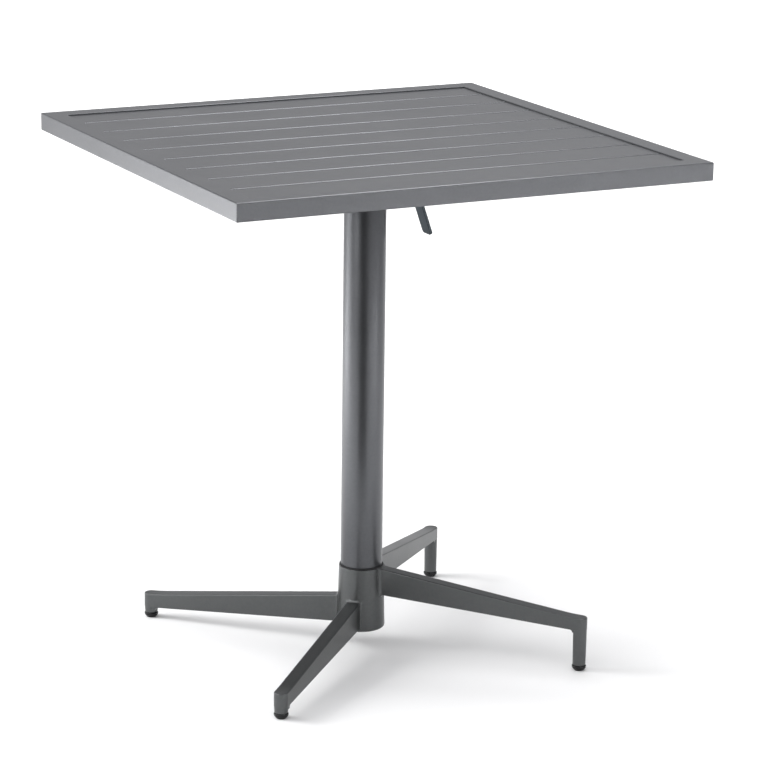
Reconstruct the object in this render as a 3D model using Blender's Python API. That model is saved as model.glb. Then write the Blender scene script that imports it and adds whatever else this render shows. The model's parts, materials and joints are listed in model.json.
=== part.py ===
"""Square flip-top bistro table: slatted metal top on a pedestal with two low and two high feet.

Metres, +Z up. The origin is on the floor under the middle of the column. The slats run along X.
The top tilts about an axis along Y on the -X side of the column head, so its +X edge rises, and it
ends upright above the two low feet. The release lever hangs under the top on the +X side.
"""

from math import asin, atan2, cos, pi, radians, sin, sqrt, tan

import bmesh
import bpy
from mathutils import Matrix, Vector

GAP = 0.0003  # clearance that faces of neighbouring pieces keep

# Table top
TOP_SIDE = 0.700
TOP_HEIGHT = 0.7435
RAIL_WIDTH = 0.029
RAIL_HEIGHT = 0.0255
RAIL_WALL = 0.002
RAIL_EDGE_RADIUS = 0.0018
LIP_WIDTH = 0.014
LIP_THICKNESS = 0.0025
CLEAT_LEG = 0.060
CLEAT_THICKNESS = 0.004
SLAT_COUNT = 9
SLAT_PITCH = 0.0738
SLAT_SPACING = 0.004
SLAT_THICKNESS = 0.012
SLAT_WALL = 0.0016
SLAT_RECESS = 0.002
SLAT_EDGE = 0.0015
BEARER_WIDTH = 0.040
BEARER_WALL = 0.0015
BEARER_PLACES = (-0.300, -0.095, 0.095, 0.300)

# Column and its head
COLUMN_RADIUS = 0.030
COLUMN_WALL = 0.002
COLUMN_TOP = 0.655
HEAD_FLANGE = 0.006
HEAD_FLANGE_RADIUS = 0.036
HEAD_TOP = 0.704
HEAD_HALF_WIDTH = 0.021
HEAD_HALF_LENGTH = 0.029
SPIGOT_LENGTH = 0.045
ROD_RADIUS = 0.005
ROD_TOP = 0.640

# Tilt bracket and pivot
TILT_PIVOT = Vector((-0.042, 0, 0.701))
BARREL_RADIUS = 0.011
BUSH_RADIUS = 0.008
BUSH_LENGTH = 0.016
BUSH_FLANGE_RADIUS = 0.0105
BUSH_FLANGE = 0.001
PIVOT_PIN_RADIUS = 0.005
PLATE_HALF_LENGTH = 0.112
PLATE_HALF_WIDTH = 0.080
PLATE_THICKNESS = 0.005
PLATE_CORNER = 0.012
LUG_THICKNESS = 0.006
BOLT_Y = 0.060

# Release lever and catch
LEVER_TIP = Vector((0.09943, 0, 0.5974))
LEVER_LEAN = radians(19)
LEVER_PIVOT_HEIGHT = 0.7055
LEVER_WIDTH = 0.025
LEVER_THICKNESS = 0.0045
LEVER_CORNER = 0.005
LEVER_EYE_RADIUS = 0.0075
LEVER_PIN_RADIUS = 0.003
SPRING_SLOT = 0.011
SPRING_RADIUS = 0.0052
SPRING_WIRE = 0.0006
SPRING_TURNS = 3
NOSE_TOP = 0.694
STRIKER_THICKNESS = 0.003
STRIKER_TOP = 0.698
STRIKER_BOTTOM = 0.671
STRIKER_EDGE_X = 0.0373
STRIKER_SCREW_Y = 0.010
STRIKER_SCREW_Z = 0.679

# Pins and their clips
LEVER_PIN_HEAD = 0.005
PIN_TAIL = 0.002
PIN_BEVEL = 0.0005
GROOVE_HALF = 0.0007
CLIP_HALF = 0.0004
CLIP_OFFSET = 0.0008

# Rubber stops on the head
PAD_X = 0.012
PAD_Y = 0.0125
FOLD_STOP_Z = 0.672
FOLD_BOSS_X = -0.046

# Base
HUB_BOTTOM = 0.026
HUB_TOP = 0.119
HUB_BOTTOM_RADIUS = 0.0345
HUB_TOP_RADIUS = 0.0323
HUB_FLOOR = (0.044, 0.052)
HUB_RECESS_RADIUS = 0.026
FOOT_RADIUS = 0.328  # from the column's axis to each foot
ARM_HALF_WIDTH = 0.0101
ARM_EDGE = 0.0014
ARM_FILLET = 0.006
ARM_START = 0.035
LOW_ARM = {"top": (0.0705, 0.0365), "under": (0.0310, 0.0160)}
HIGH_ARM = {"top": (0.1175, 0.0775), "under": (0.0785, 0.0600)}
LOW_FEET = {"left": 135, "front": 225}
HIGH_FEET = {"right": 315, "back": 45}
POST_TOP_RADIUS = 0.0098
POST_BOTTOM_RADIUS = 0.0093
GLIDE_HEIGHT = 0.0078
GLIDE_RADIUS = 0.0102
STUD_RADIUS = 0.0039
STUD_TOP = 0.026

RAIL_BOTTOM = TOP_HEIGHT - RAIL_HEIGHT
SLAT_TOP = TOP_HEIGHT - SLAT_RECESS
SLAT_BOTTOM = SLAT_TOP - SLAT_THICKNESS
BEARER_BOTTOM = RAIL_BOTTOM + LIP_THICKNESS + GAP
BEARER_TOP = SLAT_BOTTOM - GAP
PLATE_TOP = BEARER_BOTTOM - GAP
PLATE_BOTTOM = PLATE_TOP - PLATE_THICKNESS
INNER_HALF = TOP_SIDE / 2 - RAIL_WIDTH
LEVER_LENGTH = (LEVER_PIVOT_HEIGHT - LEVER_TIP.z) / cos(LEVER_LEAN)
LEVER_PIVOT = Vector((LEVER_TIP.x - LEVER_LENGTH * sin(LEVER_LEAN), 0, LEVER_PIVOT_HEIGHT))
LUG_INNER = HEAD_HALF_WIDTH + BUSH_FLANGE + 2 * GAP
LUG_OUTER = LUG_INNER + LUG_THICKNESS
LEVER_LUG_INNER = LEVER_WIDTH / 2 + 0.0012
LEVER_LUG_OUTER = LEVER_LUG_INNER + 0.004
STRIKER_FACE = HEAD_HALF_LENGTH + GAP + STRIKER_THICKNESS
NOSE_X = STRIKER_FACE + GAP


def clear_scene():
    for obj in list(bpy.data.objects):
        bpy.data.objects.remove(obj, do_unlink=True)


def material(name, colour, roughness, metallic):
    made = bpy.data.materials.new(name)
    made.use_nodes = True
    shader = made.node_tree.nodes["Principled BSDF"]
    shader.inputs["Base Color"].default_value = (*colour, 1)
    shader.inputs["Roughness"].default_value = roughness
    shader.inputs["Metallic"].default_value = metallic
    return made


def empty(name, place, parent=None):
    made = bpy.data.objects.new(name, None)
    bpy.context.collection.objects.link(made)
    made.location = place - parent.matrix_world.translation if parent else place
    made.parent = parent
    bpy.context.view_layer.update()
    return made


# Outlines and solids. All of them are drawn in world coordinates.


def arc(centre, radius, start, end, steps):
    """Points of an arc in a plane, with the angles in degrees."""
    turn = (end - start) / steps
    angles = [radians(start + turn * step) for step in range(steps + 1)]
    return [(centre[0] + radius * cos(a), centre[1] + radius * sin(a)) for a in angles]


def rounded(corners, steps=2):
    """An outline from corners (x, y, radius), each rounded by its radius."""
    points = []
    for index, (x, y, radius) in enumerate(corners):
        if not radius:
            points.append((x, y))
            continue
        here = Vector((x, y))
        before = (Vector(corners[index - 1][:2]) - here).normalized()
        after = (Vector(corners[(index + 1) % len(corners)][:2]) - here).normalized()
        half = before.angle(after) / 2
        centre = here + (before + after).normalized() * (radius / sin(half))
        first = here + before * (radius / tan(half)) - centre
        last = here + after * (radius / tan(half)) - centre
        start = atan2(first.y, first.x)
        sweep = (atan2(last.y, last.x) - start + pi) % (2 * pi) - pi
        for step in range(steps + 1):
            angle = start + sweep * step / steps
            points.append((centre.x + radius * cos(angle), centre.y + radius * sin(angle)))
    return points


def solid(name, bm):
    """An object from a bmesh, with its faces turned outwards and smooth where they curve."""
    bmesh.ops.recalc_face_normals(bm, faces=bm.faces)
    mesh = bpy.data.meshes.new(name)
    bm.to_mesh(mesh)
    bm.free()
    mesh.shade_smooth()
    mesh.set_sharp_from_angle(angle=radians(35))
    made = bpy.data.objects.new(name, mesh)
    bpy.context.collection.objects.link(made)
    return made


def along(axis, u, v, w):
    """A point w along the axis, with u and v on the other two axes in X, Y, Z order."""
    return {"x": (w, u, v), "y": (u, w, v), "z": (u, v, w)}[axis]


def prism(name, outline, axis, low, high):
    """The outline extruded along an axis. Low and high are numbers, or functions of u and v."""
    bm = bmesh.new()
    low_at = low if callable(low) else lambda u, v: low
    high_at = high if callable(high) else lambda u, v: high
    bottom = [bm.verts.new(along(axis, u, v, low_at(u, v))) for u, v in outline]
    top = [bm.verts.new(along(axis, u, v, high_at(u, v))) for u, v in outline]
    bm.faces.new(bottom)
    bm.faces.new(top)
    count = len(outline)
    for i in range(count):
        j = (i + 1) % count
        bm.faces.new((bottom[i], bottom[j], top[j], top[i]))
    return solid(name, bm)


def hollow_prism(name, outer, inner, axis, low, high):
    """A tube along an axis, between two outlines with the same number of points."""
    bm = bmesh.new()
    rings = [[bm.verts.new(along(axis, u, v, w)) for u, v in outline]
             for outline in (outer, inner) for w in (low, high)]
    outer_low, outer_high, inner_low, inner_high = rings
    count = len(outer)
    for first, second in ((outer_low, outer_high), (inner_low, inner_high),
                          (outer_low, inner_low), (outer_high, inner_high)):
        for i in range(count):
            j = (i + 1) % count
            bm.faces.new((first[i], first[j], second[j], second[i]))
    return solid(name, bm)


def box(name, low, high):
    outline = [(low[0], low[1]), (high[0], low[1]), (high[0], high[1]), (low[0], high[1])]
    return prism(name, outline, "z", low[2], high[2])


def turned(name, profile, axis="z", place=(0, 0), segments=32, ring=False):
    """A turned piece from a profile of (radius, height). A ring's profile is a closed loop. Any other
    profile starts and ends at the axis with a flat end, which is one face."""
    bm = bmesh.new()
    turns = [2 * pi * step / segments for step in range(segments)]
    loops = [[bm.verts.new(along(axis, place[0] + radius * cos(a), place[1] + radius * sin(a), height))
              for a in turns] for radius, height in profile if radius]
    for first, second in zip(loops, loops[1:] + loops[:1] if ring else loops[1:]):
        for i in range(segments):
            j = (i + 1) % segments
            bm.faces.new((first[i], first[j], second[j], second[i]))
    if not ring:
        bm.faces.new(loops[0])
        bm.faces.new(loops[-1])
    return solid(name, bm)


def hexagon(across_flats, place=(0, 0)):
    return arc(place, across_flats / sqrt(3), 0, 300, 5)


def combine(target, operation, *others):
    """Boolean modifiers on the target. The others become hidden helpers."""
    for other in others:
        modifier = target.modifiers.new(other.name, "BOOLEAN")
        modifier.operation = operation
        modifier.object = other
        other.hide_render = True
        other.display_type = "WIRE"
    return target


def cut(target, *cutters):
    return combine(target, "DIFFERENCE", *cutters)


def join(target, *others):
    return combine(target, "UNION", *others)


def drill(name, radius, axis, place, low, high, segments=24):
    """A round cutter along an axis."""
    return turned(name, [(0, low), (radius, low), (radius, high), (0, high)], axis, place, segments)


def place_on(parent, finish, *objects):
    """Gives each object its material and puts its origin on the parent's."""
    to_parent = Matrix.Translation(-parent.matrix_world.translation)
    for obj in objects:
        obj.data.materials.append(finish)
        obj.data.transform(to_parent)
        obj.parent = parent


# Table top


def rail(name, side):
    """One mitred side of the top frame: a box tube with a lip along its lower inner edge."""
    outer = TOP_SIDE / 2
    corners = [
        (outer, RAIL_BOTTOM, RAIL_EDGE_RADIUS),
        (outer, TOP_HEIGHT, RAIL_EDGE_RADIUS),
        (outer - RAIL_WIDTH, TOP_HEIGHT, RAIL_EDGE_RADIUS / 2),
        (outer - RAIL_WIDTH, RAIL_BOTTOM + LIP_THICKNESS, 0),
        (outer - RAIL_WIDTH - LIP_WIDTH, RAIL_BOTTOM + LIP_THICKNESS, 0),
        (outer - RAIL_WIDTH - LIP_WIDTH, RAIL_BOTTOM, 0),
    ]
    made = prism(name, rounded(corners), "x", lambda u, v: GAP - u, lambda u, v: u - GAP)
    bore = box(name + "_bore",
               (-outer, outer - RAIL_WIDTH + RAIL_WALL, RAIL_BOTTOM + RAIL_WALL),
               (outer, outer - RAIL_WALL, TOP_HEIGHT - RAIL_WALL))
    turn_about_column(made, side)
    turn_about_column(bore, side)
    return cut(made, bore)


def turn_about_column(obj, degrees):
    """Turns a shape about the column's axis by an exact quarter turn or any other angle."""
    c, s = round(cos(radians(degrees)), 15), round(sin(radians(degrees)), 15)
    for vertex in obj.data.vertices:
        x, y, z = vertex.co
        vertex.co = (c * x - s * y, s * x + c * y, z)


def corner_cleat(name, x_sign, y_sign):
    """An angle that holds two rails together inside their mitre."""
    near = TOP_SIDE / 2 - RAIL_WALL - 2 * GAP
    far = near - CLEAT_LEG
    inner = near - CLEAT_THICKNESS
    outline = [(near, near), (near, far), (inner, far), (inner, inner), (far, inner), (far, near)]
    outline = [(x_sign * x, y_sign * y) for x, y in outline]
    low = RAIL_BOTTOM + RAIL_WALL + 2 * GAP
    return prism(name, outline, "z", low, TOP_HEIGHT - RAIL_WALL - 2 * GAP)


def rectangle(centre, half_u, half_v, chamfer):
    """A rectangle with small chamfers, as eight points."""
    u, v = centre
    points = []
    for su, sv, flip in ((1, -1, 0), (1, 1, 1), (-1, 1, 0), (-1, -1, 1)):
        first = (u + su * (half_u - chamfer), v + sv * half_v)
        second = (u + su * half_u, v + sv * (half_v - chamfer))
        points += [second, first] if flip else [first, second]
    return points


def slat(number):
    """One hollow slat. The two outer ones are narrower and end at the rails."""
    middle = (number - (SLAT_COUNT + 1) / 2) * SLAT_PITCH
    low = max(middle - (SLAT_PITCH - SLAT_SPACING) / 2, -INNER_HALF + 2 * GAP)
    high = min(middle + (SLAT_PITCH - SLAT_SPACING) / 2, INNER_HALF - 2 * GAP)
    centre = ((low + high) / 2, SLAT_TOP - SLAT_THICKNESS / 2)
    half_u, half_v = (high - low) / 2, SLAT_THICKNESS / 2
    outer = rectangle(centre, half_u, half_v, SLAT_EDGE)
    inner = rectangle(centre, half_u - SLAT_WALL, half_v - SLAT_WALL, SLAT_EDGE / 2)
    reach = INNER_HALF - GAP
    return hollow_prism(f"slat_{number}", outer, inner, "x", -reach, reach)


def cross_bearer(number, x):
    """A flat tube under the slats. It lies on the rails' lips."""
    height = BEARER_TOP - BEARER_BOTTOM
    centre = (x, (BEARER_TOP + BEARER_BOTTOM) / 2)
    outer = rectangle(centre, BEARER_WIDTH / 2, height / 2, SLAT_EDGE)
    inner = rectangle(centre, BEARER_WIDTH / 2 - BEARER_WALL, height / 2 - BEARER_WALL, SLAT_EDGE / 2)
    reach = INNER_HALF - GAP
    made = hollow_prism(f"cross_bearer_{number}", outer, inner, "y", -reach, reach)
    if abs(x) < PLATE_HALF_LENGTH:
        for sign in (-1, 1):
            hole = drill(f"{made.name}_hole_{sign}", 0.0034, "z", (x, sign * BOLT_Y),
                         BEARER_BOTTOM - 0.001, BEARER_BOTTOM + 0.003, 16)
            cut(made, hole)
    return made


# Tilt bracket and pivot


def lug(name, pivot, radius, half_base, inner, outer):
    """An ear that hangs from the plate and ends in a round around its pin."""
    base = PLATE_BOTTOM + PLATE_THICKNESS / 2
    outline = [(pivot.x + half_base, base), (pivot.x - half_base, base)]
    outline += arc((pivot.x, pivot.z), radius, 180, 360, 10)
    return prism(name, outline, "y", inner, outer)


def tilt_bracket():
    """The steel plate under the top, with two ears for the tilt pin and two for the lever's."""
    corners = [(PLATE_HALF_LENGTH, -PLATE_HALF_WIDTH), (PLATE_HALF_LENGTH, PLATE_HALF_WIDTH),
               (-PLATE_HALF_LENGTH, PLATE_HALF_WIDTH), (-PLATE_HALF_LENGTH, -PLATE_HALF_WIDTH)]
    outline = rounded([(x, y, PLATE_CORNER) for x, y in corners], 4)
    made = prism("tilt_bracket", outline, "z", PLATE_BOTTOM, PLATE_TOP)
    for side, sign in (("front", -1), ("back", 1)):
        spans = (sorted((sign * LUG_INNER, sign * LUG_OUTER)),
                 sorted((sign * LEVER_LUG_INNER, sign * LEVER_LUG_OUTER)))
        join(made, lug("tilt_ear_" + side, TILT_PIVOT, BARREL_RADIUS, 0.016, *spans[0]),
             lug("lever_ear_" + side, LEVER_PIVOT, 0.007, 0.009, *spans[1]))
        for x in (-BEARER_PLACES[2], BEARER_PLACES[2]):
            cut(made, drill(f"plate_hole_{side}_{x}", 0.0034, "z", (x, sign * BOLT_Y),
                            PLATE_BOTTOM - 0.001, PLATE_TOP + 0.001, 16))
    for name, pivot, radius in (("tilt", TILT_PIVOT, PIVOT_PIN_RADIUS),
                                ("lever", LEVER_PIVOT, LEVER_PIN_RADIUS)):
        cut(made, drill(name + "_pin_bore", radius + GAP, "y", (pivot.x, pivot.z), -0.05, 0.05))
    return made


def bracket_bolt(number, x, y):
    """A button-head bolt through the plate into a bearer."""
    head_low = PLATE_BOTTOM - GAP - 0.0034
    profile = [(0, head_low), (0.0040, head_low), (0.0054, head_low + 0.0012),
               (0.0058, PLATE_BOTTOM - GAP), (0.0030, PLATE_BOTTOM - GAP),
               (0.0030, BEARER_TOP - BEARER_WALL - 0.0006), (0, BEARER_TOP - BEARER_WALL - 0.0006)]
    made = turned(f"bracket_bolt_{number}", profile, "z", (x, y), 18)
    socket = prism(f"bracket_bolt_{number}_socket", hexagon(0.004, (x, y)), "z",
                   head_low - 0.001, head_low + 0.002)
    return cut(made, socket)


def grooved_pin(name, pivot, radius, groove, head=0.0):
    """A pin along Y with a groove for a clip near its +Y end, and a second groove or a head at -Y."""
    waist = radius - 0.001
    low = groove - GROOVE_HALF
    high = groove + GROOVE_HALF
    end = groove + PIN_TAIL
    if head:
        face = -LEVER_LUG_OUTER - GAP
        profile = [(0, face - 0.002), (head - PIN_BEVEL, face - 0.002), (head, face - 0.002 + PIN_BEVEL),
                   (head, face), (radius, face)]
    else:
        profile = [(0, -end), (radius - PIN_BEVEL, -end), (radius, -end + PIN_BEVEL),
                   (radius, -high), (waist, -high), (waist, -low), (radius, -low)]
    profile += [(radius, low), (waist, low), (waist, high), (radius, high),
                (radius, end - PIN_BEVEL), (radius - PIN_BEVEL, end), (0, end)]
    return turned(name, profile, "y", (pivot.x, pivot.z), 24)


def retaining_clip(name, pivot, inner, outer, y):
    """An open ring that snaps into a pin's groove."""
    centre = (pivot.x, pivot.z)
    outline = arc(centre, outer, 300, 600, 16) + arc(centre, inner, 600, 300, 16)
    return prism(name, outline, "y", y - CLIP_HALF, y + CLIP_HALF)


def pivot_bush(name, sign):
    """A flanged plastic bush in one end of the head's barrel."""
    end = HEAD_HALF_WIDTH + GAP
    profile = [(PIVOT_PIN_RADIUS + GAP, end - BUSH_LENGTH), (BUSH_RADIUS, end - BUSH_LENGTH),
               (BUSH_RADIUS, end), (BUSH_FLANGE_RADIUS, end),
               (BUSH_FLANGE_RADIUS, end + BUSH_FLANGE), (PIVOT_PIN_RADIUS + GAP, end + BUSH_FLANGE)]
    profile = [(radius, sign * height) for radius, height in profile]
    return turned(name, profile, "y", (TILT_PIVOT.x, TILT_PIVOT.z), 24, ring=True)


# Column


def column_head():
    """The casting on the column: spigot, flange, body and the barrel for the tilt pin."""
    pivot = (TILT_PIVOT.x, TILT_PIVOT.z)
    base = COLUMN_TOP + GAP + HEAD_FLANGE / 2
    shoulder = COLUMN_TOP + GAP + HEAD_FLANGE
    outline = [(-HEAD_HALF_LENGTH, base), (HEAD_HALF_LENGTH - 0.004, base),
               (HEAD_HALF_LENGTH, shoulder + 0.006), (HEAD_HALF_LENGTH, HEAD_TOP), (-0.018, HEAD_TOP)]
    outline += arc(pivot, BARREL_RADIUS, 60, 285, 15)
    outline += [(-HEAD_HALF_LENGTH, shoulder + 0.022)]
    made = prism("column_head", outline, "y", -HEAD_HALF_WIDTH, HEAD_HALF_WIDTH)
    inside = COLUMN_RADIUS - COLUMN_WALL - GAP
    low = COLUMN_TOP - SPIGOT_LENGTH
    foot = turned("head_foot", [(0, low), (inside - 0.001, low), (inside, low + 0.001),
                                (inside, COLUMN_TOP + GAP), (COLUMN_RADIUS, COLUMN_TOP + GAP),
                                (HEAD_FLANGE_RADIUS, COLUMN_TOP + 0.003),
                                (HEAD_FLANGE_RADIUS, shoulder - 0.001),
                                (HEAD_FLANGE_RADIUS - 0.001, shoulder), (0, shoulder)], segments=48)
    boss = drill("fold_stop_boss", 0.009, "x", (0, FOLD_STOP_Z), FOLD_BOSS_X, -0.010)
    join(made, foot, boss)
    cut(made, drill("barrel_bore", BUSH_RADIUS + GAP, "y", pivot, -0.03, 0.03),
        drill("rod_hole", ROD_RADIUS + GAP, "z", (0, 0), low - 0.001, ROD_TOP + 0.004, 20),
        drill("fold_stop_hole", 0.0031, "x", (0, FOLD_STOP_Z),
              FOLD_BOSS_X - 0.001, FOLD_BOSS_X + 0.010, 16))
    for sign in (-1, 1):
        cut(made,
            drill(f"pad_hole_{sign}", 0.0029, "z", (PAD_X, sign * PAD_Y),
                  HEAD_TOP - 0.009, HEAD_TOP + 0.001, 16),
            drill(f"striker_hole_{sign}", 0.0018, "x", (sign * STRIKER_SCREW_Y, STRIKER_SCREW_Z),
                  HEAD_HALF_LENGTH - 0.009, HEAD_HALF_LENGTH + 0.001, 16))
    return made


def stop_pad(name, y):
    """A rubber pad that the plate rests on, with its stem in the head."""
    low = HEAD_TOP + GAP
    profile = [(0, HEAD_TOP - 0.008), (0.0026, HEAD_TOP - 0.008), (0.0026, low), (0.006, low),
               (0.006, PLATE_BOTTOM - GAP - 0.001), (0.005, PLATE_BOTTOM - GAP), (0, PLATE_BOTTOM - GAP)]
    return turned(name, profile, "z", (PAD_X, y), 20)


def fold_stop():
    """The rubber bumper that the plate meets when the top stands upright."""
    tip = TILT_PIVOT.x - (PLATE_BOTTOM - TILT_PIVOT.z) + GAP
    base = FOLD_BOSS_X - GAP
    profile = [(0, tip), (0.006, tip), (0.007, tip + 0.001), (0.007, base), (0.0028, base),
               (0.0028, base + 0.009), (0, base + 0.009)]
    return turned("fold_stop", profile, "x", (0, FOLD_STOP_Z), 20)


def striker_plate():
    """The steel angle on the head that the latch hook reaches under."""
    near = HEAD_HALF_LENGTH + GAP
    outline = [(near, STRIKER_BOTTOM), (STRIKER_FACE, STRIKER_BOTTOM),
               (STRIKER_FACE, STRIKER_TOP - STRIKER_THICKNESS),
               (STRIKER_EDGE_X, STRIKER_TOP - STRIKER_THICKNESS),
               (STRIKER_EDGE_X, STRIKER_TOP - 0.001), (STRIKER_EDGE_X - 0.001, STRIKER_TOP),
               (near, STRIKER_TOP)]
    made = prism("striker_plate", outline, "y", -0.016, 0.016)
    for sign in (-1, 1):
        cut(made, drill(f"striker_plate_hole_{sign}", 0.0020, "x",
                        (sign * STRIKER_SCREW_Y, STRIKER_SCREW_Z), near - 0.001, STRIKER_FACE + 0.001, 16))
    return made


def striker_screw(name, y):
    """A small socket screw that holds the striker plate."""
    face = STRIKER_FACE + GAP
    profile = [(0, HEAD_HALF_LENGTH - 0.008), (0.0015, HEAD_HALF_LENGTH - 0.008), (0.0015, face),
               (0.0033, face), (0.0033, face + 0.0022), (0.0028, face + 0.0027), (0, face + 0.0027)]
    made = turned(name, profile, "x", (y, STRIKER_SCREW_Z), 18)
    socket = prism(name + "_socket", hexagon(0.0025, (y, STRIKER_SCREW_Z)), "x",
                   face + 0.0012, face + 0.004)
    return cut(made, socket)


def column_tube():
    outline = arc((0, 0), COLUMN_RADIUS, 0, 354.375, 63)
    bore = arc((0, 0), COLUMN_RADIUS - COLUMN_WALL, 0, 354.375, 63)
    return hollow_prism("column_tube", outline, bore, "z", HUB_FLOOR[1] + GAP, COLUMN_TOP)


def tie_rod():
    """The threaded rod that clamps the head, column and base together."""
    low = HUB_FLOOR[0] - 0.0135
    profile = [(0, low), (ROD_RADIUS - 0.001, low), (ROD_RADIUS, low + 0.001),
               (ROD_RADIUS, ROD_TOP - 0.001), (ROD_RADIUS - 0.001, ROD_TOP), (0, ROD_TOP)]
    return turned("tie_rod", profile, segments=16)


def tie_rod_washer():
    top = HUB_FLOOR[0] - GAP
    profile = [(ROD_RADIUS + GAP, top), (0.020, top), (0.020, top - 0.002), (ROD_RADIUS + GAP, top - 0.002)]
    return turned("tie_rod_washer", profile, segments=32, ring=True)


def tie_rod_nut():
    top = HUB_FLOOR[0] - 0.002 - 2 * GAP
    made = prism("tie_rod_nut", hexagon(0.017), "z", top - 0.008, top)
    return cut(made, drill("tie_rod_nut_bore", ROD_RADIUS + GAP, "z", (0, 0), top - 0.009, top + 0.001, 16))


def column_seal_ring():
    """The black ring on the hub's rim, around the column."""
    low, high = HUB_TOP + GAP, HUB_TOP + 0.0022
    inner, outer = COLUMN_RADIUS + GAP, COLUMN_RADIUS + 0.0017
    profile = [(inner, low), (outer, low), (outer, high - 0.0005), (outer - 0.0005, high), (inner, high)]
    return turned("column_seal_ring", profile, segments=48, ring=True)


# Base


def arm(name, heights, degrees):
    """One arm along X before it is turned: parallel sides that flare into the hub, a round end, and
    a flat top and underside that slope down to the foot."""
    hub = (HUB_TOP_RADIUS + HUB_BOTTOM_RADIUS) / 2
    centre_s = ARM_HALF_WIDTH + ARM_FILLET
    centre_r = sqrt((hub + ARM_FILLET) ** 2 - centre_s ** 2)
    meets_hub = 180 + asin(centre_s / (hub + ARM_FILLET)) * 180 / pi
    flare = arc((centre_r, centre_s), ARM_FILLET, 270, meets_hub, 4)
    half = [(0.018, flare[-1][1])] + flare[::-1]
    end = arc((FOOT_RADIUS, 0), ARM_HALF_WIDTH, 90, -90, 12)
    outline = half + end + [(r, -s) for r, s in reversed(half)]

    def slope(pair):
        return lambda r, s: pair[0] + (pair[1] - pair[0]) * (r - ARM_START) / (FOOT_RADIUS - ARM_START)

    made = prism(name, outline, "z", slope(heights["under"]), slope(heights["top"]))
    bm = bmesh.new()
    bm.from_mesh(made.data)
    rims = [edge for edge in bm.edges if abs(edge.verts[0].co.z - edge.verts[1].co.z) < 0.0149
            and any(len(face.verts) > 4 for face in edge.link_faces)]
    bmesh.ops.bevel(bm, geom=rims, offset=ARM_EDGE, segments=1, affect="EDGES")
    bm.to_mesh(made.data)
    bm.free()
    turn_about_column(made, degrees)
    return made


def foot_place(degrees):
    return (FOOT_RADIUS * cos(radians(degrees)), FOOT_RADIUS * sin(radians(degrees)))


def base_casting():
    """Hub, four arms and four posts, cast in one piece."""
    wall = COLUMN_RADIUS + GAP
    outer = rounded([(0, HUB_BOTTOM, 0), (HUB_BOTTOM_RADIUS, HUB_BOTTOM, 0.004),
                     (HUB_TOP_RADIUS, HUB_TOP, 0.0008), (0, HUB_TOP, 0)], 3)
    made = turned("base_casting", outer, segments=64)
    feet = [(side, degrees, LOW_ARM) for side, degrees in LOW_FEET.items()]
    feet += [(side, degrees, HIGH_ARM) for side, degrees in HIGH_FEET.items()]
    for side, degrees, heights in feet:
        place = foot_place(degrees)
        bottom = GLIDE_HEIGHT + GAP
        top = heights["under"][1] + 0.010
        post = turned("post_" + side, [(0, bottom), (POST_BOTTOM_RADIUS - 0.0006, bottom),
                                       (POST_BOTTOM_RADIUS, bottom + 0.0006), (POST_TOP_RADIUS, top),
                                       (0, top)], "z", place, 24)
        join(made, arm("arm_" + side, heights, degrees), post)
    cut(made, drill("hub_bore", wall, "z", (0, 0), HUB_FLOOR[1], HUB_TOP + 0.001, 64),
        drill("hub_recess", HUB_RECESS_RADIUS, "z", (0, 0), HUB_BOTTOM - 0.001, HUB_FLOOR[0], 48),
        drill("hub_rod_hole", ROD_RADIUS + GAP, "z", (0, 0), HUB_FLOOR[0] - 0.001, HUB_FLOOR[1] + 0.001, 16))
    for side, degrees, heights in feet:
        cut(made, drill("stud_hole_" + side, STUD_RADIUS + GAP, "z", foot_place(degrees),
                        GLIDE_HEIGHT - 0.001, STUD_TOP + 0.001, 16))
    return made


def glide(name, place):
    """A levelling glide: a domed black pad on a threaded stud."""
    profile = [(0, 0), (0.0066, 0), (0.0086, 0.0006), (0.0098, 0.0022), (GLIDE_RADIUS, 0.0042),
               (GLIDE_RADIUS, GLIDE_HEIGHT - 0.0010), (GLIDE_RADIUS - 0.0007, GLIDE_HEIGHT),
               (STUD_RADIUS, GLIDE_HEIGHT), (STUD_RADIUS, STUD_TOP - 0.001),
               (STUD_RADIUS - 0.001, STUD_TOP), (0, STUD_TOP)]
    return turned(name, profile, "z", place, 24)


# Release lever


def lever_point(down, out):
    """A point (x, z) a distance down the lever from its pivot, and out from its middle towards +X."""
    c, s = cos(LEVER_LEAN), sin(LEVER_LEAN)
    return (LEVER_PIVOT.x + down * s + out * c, LEVER_PIVOT.z - down * c + out * s)


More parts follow.
